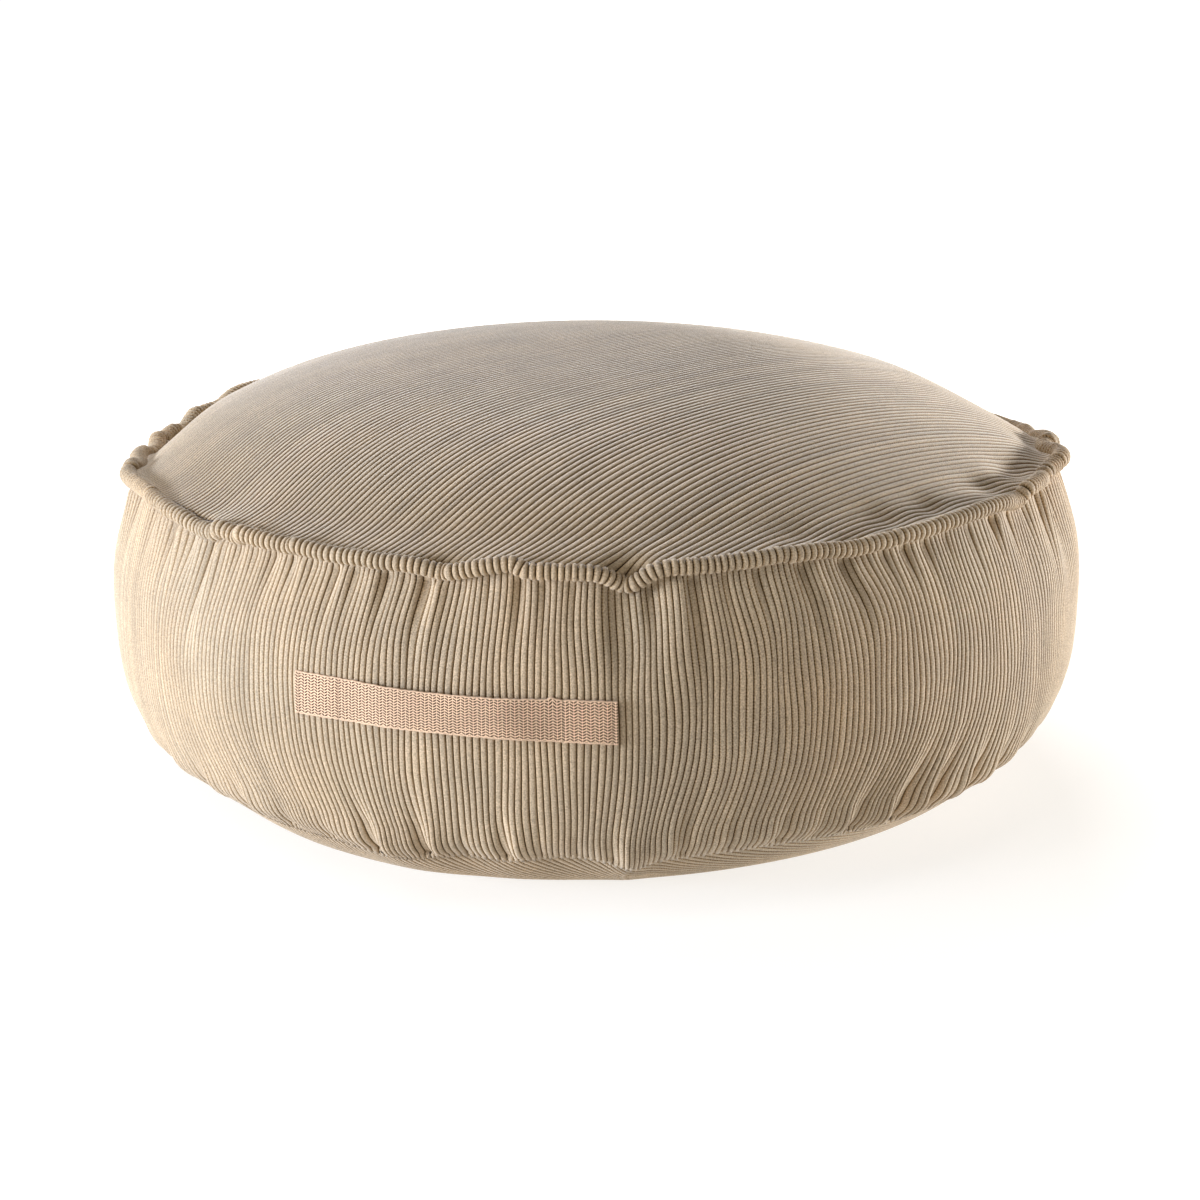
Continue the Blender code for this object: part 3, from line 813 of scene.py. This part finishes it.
def cord_radius(centre, numbers, crest):
    """Radius of the covered cord at each ring: full on its ribs, and fuller where its cover is slack."""
    unevenness = rng.uniform(-1.0, 1.0, numbers[-1] + 1)
    sizes = PIPING_RADIUS * (PIPING_PLUMPNESS + PIPING_RADIUS_JITTER * unevenness)
    radius = sizes[numbers] * crest + (PIPING_RADIUS - PIPING_RIB_DEPTH) * (1.0 - crest)
    turns = np.degrees(np.arctan2(centre[:, 0], -centre[:, 1]))
    swell = sum(
        share * bump(turn_between(turns, swell_turn), spread) for swell_turn, spread, share in PIPING_SWELLS
    )
    return radius * (1.0 + swell)


def add_piping(material):
    """A ribbed tube round the top seam, its sections square to its path."""
    path = piping_path(np.linspace(-180.0, 180.0, FINE_STEPS, endpoint=False))
    steps = np.linalg.norm(np.roll(path, -1, axis=0) - path, axis=1)
    reached = np.concatenate([[0.0], np.cumsum(steps)])
    ribs = int(round(reached[-1] / PIPING_RIB_PITCH))
    phases = np.arange(PIPING_RIB_STEPS) / PIPING_RIB_STEPS
    places, numbers, phases = uneven_ridges(ribs, reached[-1], PIPING_RIB_JITTER, phases)
    closed = np.concatenate([path, path[:1]])
    centre = np.stack([np.interp(places, reached, closed[:, axis]) for axis in range(3)], axis=-1)
    out, up = square_frames(centre)
    crest = ridge(phases, PIPING_RIB_POWERS)
    radius = cord_radius(centre, numbers, crest)
    angles = np.arange(PIPING_SIDES) * math.tau / PIPING_SIDES
    sections = (
        centre[:, None]
        + radius[:, None, None] * np.cos(angles)[None, :, None] * out[:, None]
        + radius[:, None, None] * np.sin(angles)[None, :, None] * up[:, None]
    )
    mesh = grid_mesh("piping_cord", sections, True, loop=True)
    # The grooves between the ribs take the valley colour as painted shade.
    set_values(mesh, "crest", np.repeat(crest**PIPING_GROOVE_WIDTH, PIPING_SIDES))
    set_values(mesh, "nap", np.repeat(rng.normal(0.0, 1.0, numbers[-1] + 1)[numbers], PIPING_SIDES))
    set_values(mesh, "along_mm", np.tile(angles * PIPING_RADIUS / MM, len(places)))
    piece = add_piece("piping_cord", mesh, material, "piping")


def handle_surface(along, across):
    """Middle of the strap's cloth, curved through its three heights; along and across run from 0 to 1."""
    turn = HANDLE_TURNS[0] + (HANDLE_TURNS[1] - HANDLE_TURNS[0]) * along
    left, middle, right = HANDLE_HEIGHTS
    centre_height = left * (1.0 - along) ** 2 + (4.0 * middle - left - right) * along * (1.0 - along)
    centre_height = centre_height + right * along**2
    width = HANDLE_WIDTH * (1.0 - HANDLE_NARROWING * np.sin(math.pi * along) ** 2)
    height = centre_height + (across - 0.5) * width
    from_end = np.minimum(along, 1.0 - along)
    stand_off = HANDLE_STAND_OFF * smooth_step((from_end - HANDLE_SEWN_SHARE) / HANDLE_RISE_SHARE)
    radius = smooth_lookup(BAND_PROFILE_MM, height / MM) * MM + HANDLE_THICKNESS + stand_off
    return at(turn, radius, height)


def edge_shift(along, from_edge, rise):
    """How far the strap's points move across it, where its edges waver and its upper edge is puckered."""
    first_rate, second_rate = HANDLE_EDGE_WAVE_RATES
    wave = np.sin(along * first_rate) * np.sin(along * second_rate + 1.0) * HANDLE_EDGE_WAVE
    pucker = HANDLE_PUCKER * bump(along - HANDLE_PUCKER_PLACE, HANDLE_PUCKER_SPREAD)
    pucker = pucker * smooth_step(1.0 - (1.0 - rise) / HANDLE_PUCKER_SHARE)
    return wave * bump(from_edge, HANDLE_EDGE_REACH) + pucker


def weave_relief(along, across, from_end, from_edge):
    """Height of the herringbone's yarns, sunk where the strap is sewn down."""
    zigzag = np.abs((along / WEAVE_PERIOD) % 1.0 - 0.5) * 2.0
    yarn = np.cos(math.tau * (across / WEAVE_ROW + zigzag * WEAVE_SLANT))
    relief = WEAVE_RELIEF * yarn * smooth_step(from_edge / SELVEDGE) * smooth_step(from_end / SELVEDGE)
    for stitch in HANDLE_STITCHES:
        relief = relief - STITCH_DEPTH * bump(from_end - stitch, STITCH_SPREAD)
    return relief


def add_handle(material):
    """The webbing strap: a woven sheet, sewn down at both ends and off the band between them."""
    share, rise = np.meshgrid(np.linspace(0.0, 1.0, HANDLE_COLUMNS), np.linspace(1.0, 0.0, HANDLE_ROWS))
    along = share * HANDLE_LENGTH
    across = rise * HANDLE_WIDTH
    from_end = np.minimum(along, HANDLE_LENGTH - along)
    from_edge = np.minimum(across, HANDLE_WIDTH - across)
    surface = handle_surface(share, rise + edge_shift(along, from_edge, rise) / HANDLE_WIDTH)
    relief = weave_relief(along, across, from_end, from_edge)
    points = surface + grid_normals(surface, False) * relief[..., None]
    mesh = grid_mesh("webbing_handle", points, False)
    set_values(mesh, "along_mm", along / MM)
    set_values(mesh, "across_mm", across / MM)
    piece = add_piece("webbing_handle", mesh, material, "handle")
    thickness = piece.modifiers.new("webbing thickness", "SOLIDIFY")
    thickness.thickness = HANDLE_THICKNESS
    thickness.offset = -1.0


def new_material(name, roughness, sheen):
    """A Principled material, with the values that are the same all over it."""
    material = bpy.data.materials.new(name)
    material.use_nodes = True
    shader = material.node_tree.nodes["Principled BSDF"]
    shader.inputs["Roughness"].default_value = roughness
    shader.inputs["Diffuse Roughness"].default_value = DIFFUSE_ROUGHNESS
    shader.inputs["Specular IOR Level"].default_value = SPECULAR_LEVEL
    shader.inputs["Sheen Weight"].default_value = sheen
    shader.inputs["Sheen Roughness"].default_value = SHEEN_ROUGHNESS
    shader.inputs["Sheen Tint"].default_value = SHEEN_TINT
    return material, material.node_tree, shader


def add_noise(tree, scale, detail):
    """A noise that stays with the object's own metres."""
    place = tree.nodes.new("ShaderNodeTexCoord")
    noise = tree.nodes.new("ShaderNodeTexNoise")
    noise.inputs["Scale"].default_value = scale
    noise.inputs["Detail"].default_value = detail
    tree.links.new(place.outputs["Object"], noise.inputs["Vector"])
    return noise.outputs["Fac"]


def add_maths(tree, operation, *values):
    node = tree.nodes.new("ShaderNodeMath")
    node.operation = operation
    for socket, value in zip(node.inputs, values):
        if isinstance(value, float):
            socket.default_value = value
        else:
            tree.links.new(value, socket)
    return node.outputs[0]


def add_range(tree, value, low, high, new_low=0.0, new_high=1.0):
    """The value carried from one range to another, and kept within it."""
    node = tree.nodes.new("ShaderNodeMapRange")
    tree.links.new(value, node.inputs["Value"])
    for socket, number in zip(node.inputs[1:5], (low, high, new_low, new_high)):
        socket.default_value = number
    return node.outputs["Result"]


def add_attribute(tree, name):
    node = tree.nodes.new("ShaderNodeAttribute")
    node.attribute_name = name
    return node.outputs["Fac"]


def add_mix(tree, share, first, second, blend="MIX"):
    """One colour mixed into another; sockets 6 and 7, and output 2, are the node's colours."""
    node = tree.nodes.new("ShaderNodeMix")
    node.data_type = "RGBA"
    node.blend_type = blend
    for socket, value in zip((node.inputs[0], node.inputs[6], node.inputs[7]), (share, first, second)):
        if isinstance(value, (float, tuple)):
            socket.default_value = value
        else:
            tree.links.new(value, socket)
    return node.outputs[2]


def tinted(tree, colour, tone):
    """The colour made lighter or darker by a tone round 1."""
    grey = tree.nodes.new("ShaderNodeCombineColor")
    for socket in grey.inputs[:3]:
        tree.links.new(tone, socket)
    return add_mix(tree, 1.0, colour, grey.outputs[0], "MULTIPLY")


def add_bump(tree, shader, height, strength, distance):
    bumps = tree.nodes.new("ShaderNodeBump")
    bumps.inputs["Strength"].default_value = strength
    bumps.inputs["Distance"].default_value = distance
    tree.links.new(height, bumps.inputs["Height"])
    tree.links.new(bumps.outputs["Normal"], shader.inputs["Normal"])


def corduroy_material(name, warm_pile, cool_pile, sheen):
    """Cut pile on wales: painted shade on their sides and between them, there partly the darker ground
    weave; speckled with tufts, cloudy where the nap lies differently.
    """
    material, tree, shader = new_material(name, PILE_ROUGHNESS, sheen)
    nap = add_attribute(tree, "nap")
    height = knotted(tree, add_attribute(tree, "crest"), nap)
    side = add_range(tree, height, *SIDE_RANGE)
    crest = add_range(tree, height, *CREST_RANGE)
    clouds = add_range(tree, add_noise(tree, CLOUD_SCALE, PILE_DETAIL), *CLOUD_RANGE)
    pile = add_mix(tree, clouds, warm_pile, cool_pile)
    # The wales' sides take the side colour as painted shade.
    pile = add_mix(tree, crest, SIDE_SHADE_COLOUR, pile)
    colour = add_mix(tree, side, VALLEY_WEAVE_AND_SHADE_COLOUR, pile)
    patches = add_range(tree, add_noise(tree, PATCH_SCALE, PILE_DETAIL), *NOISE_RANGE, *PATCH_TONES)
    tufts = add_noise(tree, TUFT_SCALE, PILE_DETAIL)
    grain = add_range(tree, tufts, *NOISE_RANGE, *TUFT_TONES)
    wale_tone = add_maths(tree, "MULTIPLY_ADD", nap, WALE_TONE, 1.0)
    tone = add_maths(tree, "MULTIPLY", patches, grain)
    tone = add_maths(tree, "MULTIPLY", tone, wale_tone)
    tree.links.new(tinted(tree, colour, tone), shader.inputs["Base Color"])
    add_bump(tree, shader, tufts, *TUFT_BUMP)
    return material


def knotted(tree, height, nap):
    """The height on a wale, lowered by the small knots of the ground weave that show beside its crest."""
    half_pitch = KNOT_PITCH_MM / 2.0
    place = add_maths(tree, "MULTIPLY_ADD", nap, KNOT_SHIFT_MM, add_attribute(tree, "along_mm"))
    place = add_maths(tree, "PINGPONG", place, half_pitch)
    knots = add_range(tree, place, 0.0, half_pitch, 0.0, KNOT_DARKNESS)
    fading = add_range(tree, height, *KNOT_RANGE, 1.0, KNOT_ON_CREST)
    return add_maths(tree, "SUBTRACT", height, add_maths(tree, "MULTIPLY", knots, fading))


def webbing_material():
    """Herringbone webbing with plain selvedges and sewn lines near its ends, painted shade in the gaps
    between its yarns and along its edges.
    """
    material, tree, shader = new_material("webbing", WEBBING_ROUGHNESS, WEBBING_SHEEN)
    along = add_attribute(tree, "along_mm")
    across = add_attribute(tree, "across_mm")
    from_edge = add_maths(tree, "PINGPONG", across, HANDLE_WIDTH / MM / 2.0)
    dark = herringbone(tree, along, across, from_edge)
    for line in sewn_lines(tree, along, across):
        dark = add_maths(tree, "MAXIMUM", dark, line)
    # Painted shade along the strap's edges.
    rim = add_range(tree, from_edge, 0.0, RIM_SHADE_MM, RIM_SHADE, 0.0)
    dark = add_maths(tree, "MAXIMUM", dark, rim)
    colour = add_mix(tree, dark, WEBBING_COLOUR, WEBBING_GAP_SHADE_COLOUR)
    fibres = add_noise(tree, FIBRE_SCALE, WEBBING_DETAIL)
    fibres = add_range(tree, fibres, *NOISE_RANGE, *FIBRE_TONES)
    patches = add_noise(tree, WEBBING_PATCH_SCALE, WEBBING_DETAIL)
    patches = add_range(tree, patches, *NOISE_RANGE, *WEBBING_PATCH_TONES)
    tone = add_maths(tree, "MULTIPLY", fibres, patches)
    tree.links.new(tinted(tree, colour, tone), shader.inputs["Base Color"])
    add_bump(tree, shader, add_maths(tree, "SUBTRACT", 1.0, dark), *WEBBING_BUMP)
    return material


def herringbone(tree, along, across, from_edge):
    """Painted shade: 1 in the gaps between slanting yarns; 0 on yarns, on selvedges and at the zigzag's
    corners.
    """
    half_period = WEAVE_PERIOD / MM / 2.0
    arm = add_maths(tree, "PINGPONG", along, half_period)
    arm = add_maths(tree, "DIVIDE", arm, half_period)
    rows = add_maths(tree, "DIVIDE", across, WEAVE_ROW / MM)
    rows = add_maths(tree, "MULTIPLY_ADD", arm, WEAVE_SLANT, rows)
    gap = add_range(tree, add_maths(tree, "PINGPONG", rows, 0.5), *YARN_RANGE)
    inside_arm = add_range(tree, add_maths(tree, "PINGPONG", arm, 0.5), *ARM_RANGE)
    inside_edge = add_range(tree, from_edge, *SELVEDGE_RANGE_MM)
    dark = add_maths(tree, "MULTIPLY", gap, inside_arm)
    return add_maths(tree, "MULTIPLY", dark, inside_edge)


def sewn_lines(tree, along, across):
    """Shade of each line of stitches across the strap."""
    from_end = add_maths(tree, "PINGPONG", along, HANDLE_LENGTH / MM / 2.0)
    from_hole = add_maths(tree, "PINGPONG", across, STITCH_HALF_PITCH_MM)
    stitch_gap = add_range(tree, from_hole, *STITCH_GAP_RANGE_MM)
    for stitch in HANDLE_STITCHES:
        offset = add_maths(tree, "ABSOLUTE", add_maths(tree, "SUBTRACT", from_end, stitch / MM))
        line = add_range(tree, offset, *STITCH_RANGE_MM, STITCH_SHADE, 0.0)
        yield add_maths(tree, "MULTIPLY", line, stitch_gap)


def add_stage():
    """A pale floor that glows a little as painted bounce light, less so close to the pouf as a painted
    contact shadow.
    """
    bpy.ops.mesh.primitive_circle_add(vertices=FLOOR_SIDES, radius=FLOOR_RADIUS, fill_type="NGON")
    floor = bpy.context.object
    floor.name = "floor"
    material = bpy.data.materials.new("floor")
    material.use_nodes = True
    shader = material.node_tree.nodes["Principled BSDF"]
    shader.inputs["Base Color"].default_value = FLOOR_COLOUR
    shader.inputs["Roughness"].default_value = 1.0
    shader.inputs["Specular IOR Level"].default_value = 0.0
    shader.inputs["Emission Color"].default_value = FLOOR_GLOW_COLOUR
    tree = material.node_tree
    place = tree.nodes.new("ShaderNodeNewGeometry")
    distance = tree.nodes.new("ShaderNodeVectorMath")
    distance.operation = "LENGTH"
    tree.links.new(place.outputs["Position"], distance.inputs[0])
    glow = add_range(tree, distance.outputs["Value"], *FLOOR_GLOW_DISTANCES, *FLOOR_GLOWS)
    tree.links.new(glow, shader.inputs["Emission Strength"])
    floor.data.materials.append(material)


def add_camera():
    """A camera in front of the pouf, aimed at CAMERA_AIM and rolled a little."""
    elevation = math.radians(CAMERA_ELEVATION)
    back = Vector((0.0, -math.cos(elevation), math.sin(elevation)))
    camera = bpy.data.objects.new("camera", bpy.data.cameras.new("camera"))
    tilt = Matrix.Rotation(math.radians(90.0) - elevation, 4, "X")
    roll = Matrix.Rotation(math.radians(CAMERA_ROLL), 4, "Z")
    camera.matrix_world = Matrix.Translation(CAMERA_AIM + back * CAMERA_DISTANCE) @ tilt @ roll
    camera.data.lens = CAMERA_LENS_MM
    camera.data.sensor_width = CAMERA_SENSOR_MM
    camera.data.shift_x, camera.data.shift_y = CAMERA_SHIFT
    bpy.context.scene.collection.objects.link(camera)
    bpy.context.scene.camera = camera


def add_lights():
    """Softboxes round the pouf, each facing CAMERA_AIM."""
    for name, turn, elevation, width, height, watts, colour in LIGHTS:
        light = bpy.data.lights.new(name, "AREA")
        light.shape = "RECTANGLE"
        light.size = width
        light.size_y = height
        light.energy = watts
        light.color = colour
        lamp = bpy.data.objects.new(name, light)
        level = LIGHT_DISTANCE * math.cos(math.radians(elevation))
        high = LIGHT_DISTANCE * math.sin(math.radians(elevation))
        place = Vector(at(turn, level, high)) + CAMERA_AIM
        facing = (place - CAMERA_AIM).to_track_quat("Z", "Y").to_matrix().to_4x4()
        lamp.matrix_world = Matrix.Translation(place) @ facing
        bpy.context.scene.collection.objects.link(lamp)


def add_world():
    """Faint warm light from all round."""
    world = bpy.data.worlds.new("studio")
    world.use_nodes = True
    background = world.node_tree.nodes["Background"]
    background.inputs["Color"].default_value = WORLD_COLOUR
    background.inputs["Strength"].default_value = WORLD_STRENGTH
    bpy.context.scene.world = world
    bpy.context.scene.view_settings.view_transform = "Standard"


def main():
    corduroy = corduroy_material("corduroy", WARM_PILE, COOL_PILE, BAND_SHEEN)
    add_top_panel(corduroy_material("top_corduroy", TOP_WARM_PILE, TOP_COOL_PILE, TOP_SHEEN))
    add_side_band(corduroy)
    add_bottom_panel(corduroy_material("base_corduroy", WARM_PILE, COOL_PILE, BASE_SHEEN))
    add_piping(corduroy)
    add_handle(webbing_material())
    add_stage()
    add_camera()
    add_lights()
    add_world()


main()
